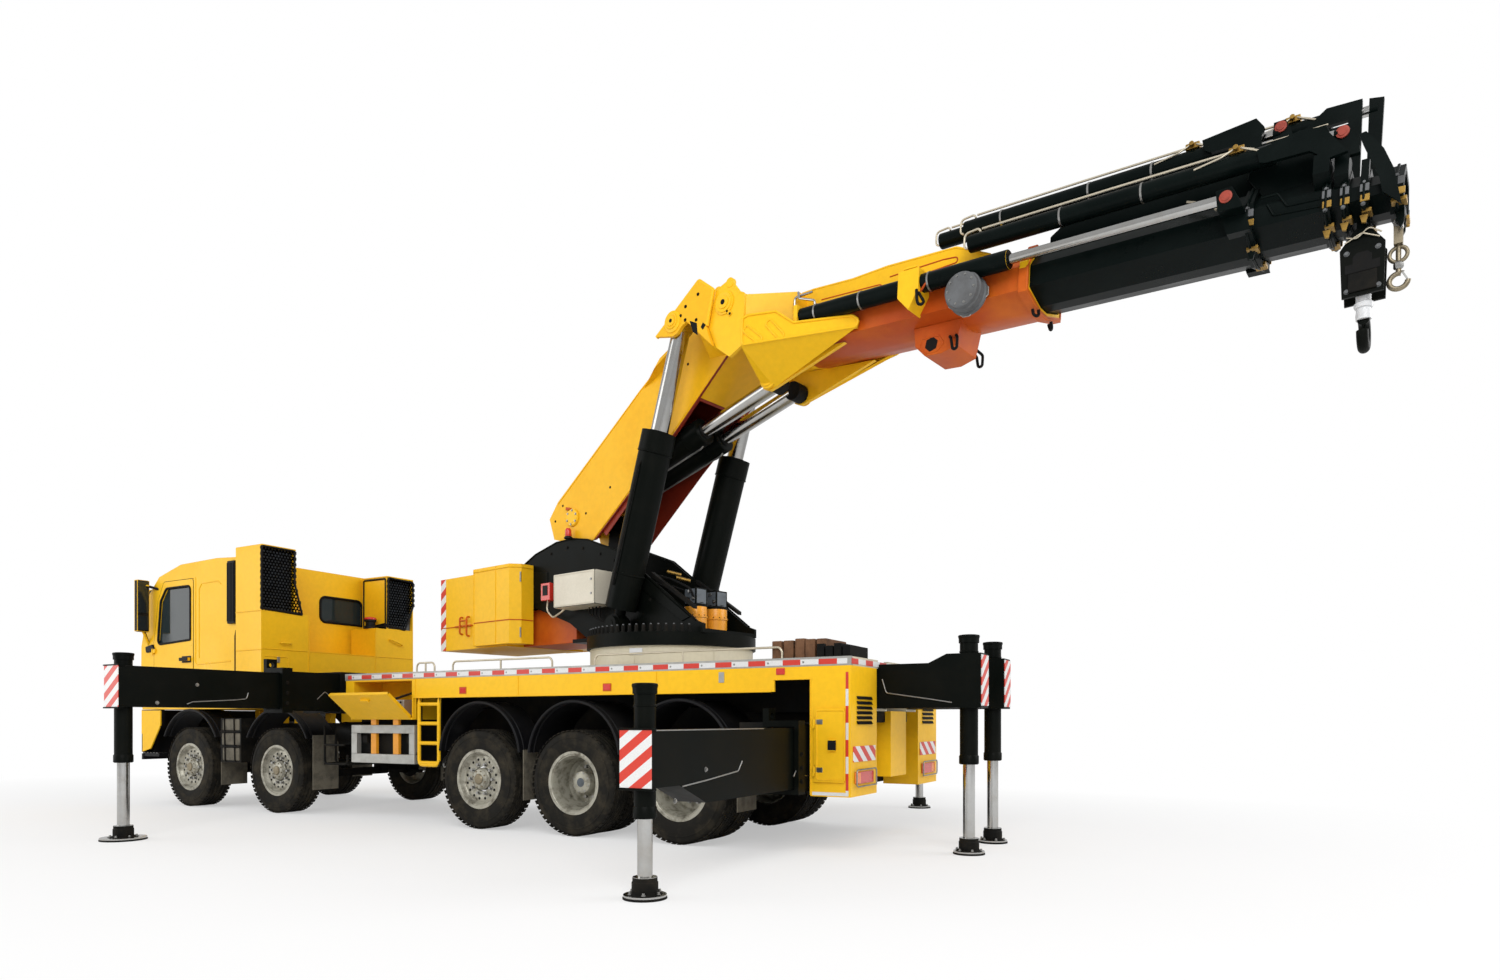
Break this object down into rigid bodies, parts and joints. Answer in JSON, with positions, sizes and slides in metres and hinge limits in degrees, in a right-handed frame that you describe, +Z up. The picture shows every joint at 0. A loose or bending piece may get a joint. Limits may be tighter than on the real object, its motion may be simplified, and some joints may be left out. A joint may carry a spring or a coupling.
{
  "type": "knuckle boom crane",
  "caption": "Truck-mounted knuckle boom crane standing on its outriggers, with a folding telescopic boom raised over the rear and a hook hanging from its tip.",
  "frame": {"origin": "bottom centre of the whole machine as it stands on its jack pads", "axes": "+X towards the front of the truck, +Y to the driver's left, +Z up"},
  "size_m": [15.5544, 7.69, 5.875],
  "materials": {
    "yellow_paint": "gloss",
    "black_paint": "gloss",
    "beige_paint": "satin",
    "chassis_paint": "matte",
    "engine_iron": "matte",
    "chrome_rods": "polished",
    "tyre_rubber": "matte",
    "trim_plastic": "matte"
  },
  "bodies": {
    "carrier": {"chassis_frame": "chassis_paint", "engine": "engine_iron", "deck": "beige_paint", "body_sides": "yellow_paint", "mudguards": "trim_plastic", "cab_shell": "yellow_paint", "bumper": "trim_plastic", "cab_interior": "trim_plastic", "towers": "yellow_paint", "side_gear": "chassis_paint", "pedestal": "beige_paint"},
    "panel_flap": {"panel_flap": "yellow_paint"},
    "locker_door": {"locker_door": "yellow_paint"},
    "cab_door_left": {"cab_door_left": "yellow_paint"},
    "cab_door_right": {"cab_door_right": "yellow_paint"},
    "wheel_1_left": {"wheel_1_left": "tyre_rubber"},
    "wheel_1_right": {"wheel_1_right": "tyre_rubber"},
    "knuckle_1_left": {"knuckle_1_left": "chassis_paint"},
    "knuckle_1_right": {"knuckle_1_right": "chassis_paint"},
    "wheel_2_left": {"wheel_2_left": "tyre_rubber"},
    "wheel_2_right": {"wheel_2_right": "tyre_rubber"},
    "knuckle_2_left": {"knuckle_2_left": "chassis_paint"},
    "knuckle_2_right": {"knuckle_2_right": "chassis_paint"},
    "wheel_3_left": {"wheel_3_left": "tyre_rubber"},
    "wheel_3_right": {"wheel_3_right": "tyre_rubber"},
    "wheel_4_left": {"wheel_4_left": "tyre_rubber"},
    "wheel_4_right": {"wheel_4_right": "tyre_rubber"},
    "wheel_5_left": {"wheel_5_left": "tyre_rubber"},
    "wheel_5_right": {"wheel_5_right": "tyre_rubber"},
    "front_beam_left": {"front_beam_left": "black_paint"},
    "front_arm_left": {"front_arm_left": "black_paint"},
    "front_leg_left": {"front_leg_left": "chrome_rods"},
    "front_beam_right": {"front_beam_right": "black_paint"},
    "front_arm_right": {"front_arm_right": "black_paint"},
    "front_leg_right": {"front_leg_right": "chrome_rods"},
    "rear_beam_left": {"rear_beam_left": "black_paint"},
    "rear_arm_left": {"rear_arm_left": "black_paint"},
    "rear_leg_left": {"rear_leg_left": "chrome_rods"},
    "rear_beam_right": {"rear_beam_right": "black_paint"},
    "rear_arm_right": {"rear_arm_right": "black_paint"},
    "rear_leg_right": {"rear_leg_right": "chrome_rods"},
    "tail_beam_left": {"tail_beam_left": "black_paint"},
    "tail_leg_left": {"tail_leg_left": "chrome_rods"},
    "tail_beam_right": {"tail_beam_right": "black_paint"},
    "tail_leg_right": {"tail_leg_right": "chrome_rods"},
    "main_boom": {"main_boom": "yellow_paint"},
    "lift_barrels": {"lift_barrels": "black_paint"},
    "lift_rods": {"lift_rods": "chrome_rods"},
    "fold_barrels": {"fold_barrels": "black_paint"},
    "fold_rods": {"fold_rods": "chrome_rods"},
    "outer_boom": {"outer_boom": "yellow_paint"},
    "hook_block": {"hook_block": "black_paint"},
    "tip_hook": {"tip_hook": "black_paint"},
    "stage_1": {"stage_1": "black_paint"},
    "stage_2": {"stage_2": "black_paint"},
    "stage_3": {"stage_3": "black_paint"},
    "stage_4": {"stage_4": "black_paint"},
    "stage_5": {"stage_5": "black_paint"},
    "slewing_base": {"turntable": "black_paint", "counterweight": "yellow_paint"}
  },
  "joints": [
    {"name": "steer_1_left", "type": "hinge", "parent": "carrier", "child": "knuckle_1_left", "pos_m": [6.36224, 0.8, 0.562], "axis": [0, 0, 1], "range_deg": [-30, 30]},
    {"name": "roll_1_left", "type": "hinge", "parent": "knuckle_1_left", "child": "wheel_1_left", "pos_m": [6.36224, 1.095, 0.562], "axis": [0, 1, 0], "continuous": true},
    {"name": "steer_1_right", "type": "hinge", "parent": "carrier", "child": "knuckle_1_right", "pos_m": [6.36224, -0.8, 0.562], "axis": [0, 0, 1], "range_deg": [-30, 30]},
    {"name": "roll_1_right", "type": "hinge", "parent": "knuckle_1_right", "child": "wheel_1_right", "pos_m": [6.36224, -1.095, 0.562], "axis": [0, 1, 0], "continuous": true},
    {"name": "steer_2_left", "type": "hinge", "parent": "carrier", "child": "knuckle_2_left", "pos_m": [4.39224, 0.8, 0.562], "axis": [0, 0, 1], "range_deg": [-21.5, 21.5]},
    {"name": "roll_2_left", "type": "hinge", "parent": "knuckle_2_left", "child": "wheel_2_left", "pos_m": [4.39224, 1.095, 0.562], "axis": [0, 1, 0], "continuous": true},
    {"name": "steer_2_right", "type": "hinge", "parent": "carrier", "child": "knuckle_2_right", "pos_m": [4.39224, -0.8, 0.562], "axis": [0, 0, 1], "range_deg": [-21.5, 21.5]},
    {"name": "roll_2_right", "type": "hinge", "parent": "knuckle_2_right", "child": "wheel_2_right", "pos_m": [4.39224, -1.095, 0.562], "axis": [0, 1, 0], "continuous": true},
    {"name": "roll_3_left", "type": "hinge", "parent": "carrier", "child": "wheel_3_left", "pos_m": [0.76224, 1.095, 0.562], "axis": [0, 1, 0], "continuous": true},
    {"name": "roll_3_right", "type": "hinge", "parent": "carrier", "child": "wheel_3_right", "pos_m": [0.76224, -1.095, 0.562], "axis": [0, 1, 0], "continuous": true},
    {"name": "roll_4_left", "type": "hinge", "parent": "carrier", "child": "wheel_4_left", "pos_m": [-0.58776, 0.925, 0.562], "axis": [0, 1, 0], "continuous": true},
    {"name": "roll_4_right", "type": "hinge", "parent": "carrier", "child": "wheel_4_right", "pos_m": [-0.58776, -0.925, 0.562], "axis": [0, 1, 0], "continuous": true},
    {"name": "roll_5_left", "type": "hinge", "parent": "carrier", "child": "wheel_5_left", "pos_m": [-1.90776, 0.925, 0.562], "axis": [0, 1, 0], "continuous": true},
    {"name": "roll_5_right", "type": "hinge", "parent": "carrier", "child": "wheel_5_right", "pos_m": [-1.90776, -0.925, 0.562], "axis": [0, 1, 0], "continuous": true},
    {"name": "cab_door_left_open", "type": "hinge", "parent": "carrier", "child": "cab_door_left", "pos_m": [7.33824, 1.222, 1.641], "axis": [0, 0, -1], "range_deg": [0, 70]},
    {"name": "cab_door_right_open", "type": "hinge", "parent": "carrier", "child": "cab_door_right", "pos_m": [7.33824, -1.222, 1.641], "axis": [0, 0, 1], "range_deg": [0, 70]},
    {"name": "locker_door_open", "type": "hinge", "parent": "carrier", "child": "locker_door", "pos_m": [-3.37776, 1.266, 0.778], "axis": [0, 0, -1], "range_deg": [0, 90]},
    {"name": "panel_flap_open", "type": "hinge", "parent": "carrier", "child": "panel_flap", "pos_m": [1.83724, 1.265, 1.242], "axis": [1, 0, 0], "range_deg": [-40, 50]},
    {"name": "front_beam_left_slide", "type": "slide", "parent": "carrier", "child": "front_beam_left", "axis": [0, 1, 0], "range_m": [-0.64, 0]},
    {"name": "front_arm_left_slide", "type": "slide", "parent": "front_beam_left", "child": "front_arm_left", "axis": [0, 1, 0], "range_m": [-1.43, 0]},
    {"name": "front_leg_left_lift", "type": "slide", "parent": "front_arm_left", "child": "front_leg_left", "axis": [0, 0, 1], "range_m": [0, 0.6]},
    {"name": "front_beam_right_slide", "type": "slide", "parent": "carrier", "child": "front_beam_right", "axis": [0, -1, 0], "range_m": [-0.64, 0]},
    {"name": "front_arm_right_slide", "type": "slide", "parent": "front_beam_right", "child": "front_arm_right", "axis": [0, -1, 0], "range_m": [-1.43, 0]},
    {"name": "front_leg_right_lift", "type": "slide", "parent": "front_arm_right", "child": "front_leg_right", "axis": [0, 0, 1], "range_m": [0, 0.6]},
    {"name": "rear_beam_left_slide", "type": "slide", "parent": "carrier", "child": "rear_beam_left", "axis": [0, 1, 0], "range_m": [-0.12, 0]},
    {"name": "rear_arm_left_slide", "type": "slide", "parent": "rear_beam_left", "child": "rear_arm_left", "axis": [0, 1, 0], "range_m": [-1.93, 0]},
    {"name": "rear_leg_left_lift", "type": "slide", "parent": "rear_arm_left", "child": "rear_leg_left", "axis": [0, 0, 1], "range_m": [0, 0.4]},
    {"name": "rear_beam_right_slide", "type": "slide", "parent": "carrier", "child": "rear_beam_right", "axis": [0, -1, 0], "range_m": [-0.12, 0]},
    {"name": "rear_arm_right_slide", "type": "slide", "parent": "rear_beam_right", "child": "rear_arm_right", "axis": [0, -1, 0], "range_m": [-1.93, 0]},
    {"name": "rear_leg_right_lift", "type": "slide", "parent": "rear_arm_right", "child": "rear_leg_right", "axis": [0, 0, 1], "range_m": [0, 0.4]},
    {"name": "tail_beam_left_slide", "type": "slide", "parent": "carrier", "child": "tail_beam_left", "axis": [-1, 0, 0], "range_m": [-0.75, 0]},
    {"name": "tail_leg_left_lift", "type": "slide", "parent": "tail_beam_left", "child": "tail_leg_left", "axis": [0, 0, 1], "range_m": [0, 0.6]},
    {"name": "tail_beam_right_slide", "type": "slide", "parent": "carrier", "child": "tail_beam_right", "axis": [-1, 0, 0], "range_m": [-0.75, 0]},
    {"name": "tail_leg_right_lift", "type": "slide", "parent": "tail_beam_right", "child": "tail_leg_right", "axis": [0, 0, 1], "range_m": [0, 0.6]},
    {"name": "slew", "type": "hinge", "parent": "carrier", "child": "slewing_base", "pos_m": [-1.00776, 0, 2.15], "axis": [0, 0, 1], "continuous": true},
    {"name": "main_lift", "type": "hinge", "parent": "slewing_base", "child": "main_boom", "pos_m": [0.22325, -0.21706, 3.65], "axis": [0.1736, 0.9848, 0], "range_deg": [-25, 34]},
    {"name": "knuckle", "type": "hinge", "parent": "main_boom", "child": "outer_boom", "pos_m": [-2.39634, 0.24484, 5.34], "axis": [0.1736, 0.9848, 0], "range_deg": [-40, 0]},
    {"name": "lift_cylinder_tilt", "type": "hinge", "parent": "slewing_base", "child": "lift_barrels", "pos_m": [-0.78125, -0.03994, 2.29], "axis": [0.1736, 0.9848, 0], "range_deg": [-17.34, 23.47]},
    {"name": "lift_cylinder_stroke", "type": "slide", "parent": "lift_barrels", "child": "lift_rods", "axis": [-0.3031, 0.0534, 0.9515], "range_m": [-0.579, 0.786]},
    {"name": "fold_cylinder_tilt", "type": "hinge", "parent": "main_boom", "child": "fold_barrels", "pos_m": [-0.31839, -0.12155, 3.975], "axis": [0.1736, 0.9848, 0], "range_deg": [-0.2, 3.67]},
    {"name": "fold_cylinder_stroke", "type": "slide", "parent": "fold_barrels", "child": "fold_rods", "axis": [-0.9457, 0.1667, 0.2791], "range_m": [-0.486, 0.004]},
    {"name": "stage_1_extend", "type": "slide", "parent": "outer_boom", "child": "stage_1", "axis": [-0.9835, 0.1734, -0.0523], "range_m": [-1.4, 0.4]},
    {"name": "stage_2_extend", "type": "slide", "parent": "stage_1", "child": "stage_2", "axis": [-0.9835, 0.1734, -0.0523], "range_m": [0, 1.6]},
    {"name": "stage_3_extend", "type": "slide", "parent": "stage_2", "child": "stage_3", "axis": [-0.9835, 0.1734, -0.0523], "range_m": [0, 1.6]},
    {"name": "stage_4_extend", "type": "slide", "parent": "stage_3", "child": "stage_4", "axis": [-0.9835, 0.1734, -0.0523], "range_m": [0, 1.6]},
    {"name": "stage_5_extend", "type": "slide", "parent": "stage_4", "child": "stage_5", "axis": [-0.9835, 0.1734, -0.0523], "range_m": [0, 1.6]},
    {"name": "hook_block_swing", "type": "hinge", "parent": "stage_4", "child": "hook_block", "pos_m": [-7.49361, 1.14363, 4.55304], "axis": [0.1736, 0.9848, 0], "range_deg": [-40, 9]},
    {"name": "tip_hook_swing", "type": "hinge", "parent": "stage_5", "child": "tip_hook", "pos_m": [-7.68714, 1.17775, 4.57678], "axis": [0.1736, 0.9848, 0], "range_deg": [-8, 40]}
  ],
  "couplings": [
    {"joint": "steer_1_right", "follows": "steer_1_left", "ratio": 1},
    {"joint": "steer_2_left", "follows": "steer_1_left", "ratio": 0.71},
    {"joint": "steer_2_right", "follows": "steer_1_left", "ratio": 0.71},
    {"joint": "lift_cylinder_tilt", "follows": "main_lift", "ratio": 0.6816},
    {"joint": "lift_cylinder_stroke", "follows": "main_lift", "m_per_rad": 1.3173},
    {"joint": "fold_cylinder_tilt", "follows": "knuckle", "ratio": -0.0868},
    {"joint": "fold_cylinder_stroke", "follows": "knuckle", "m_per_rad": 0.6905}
  ]
}
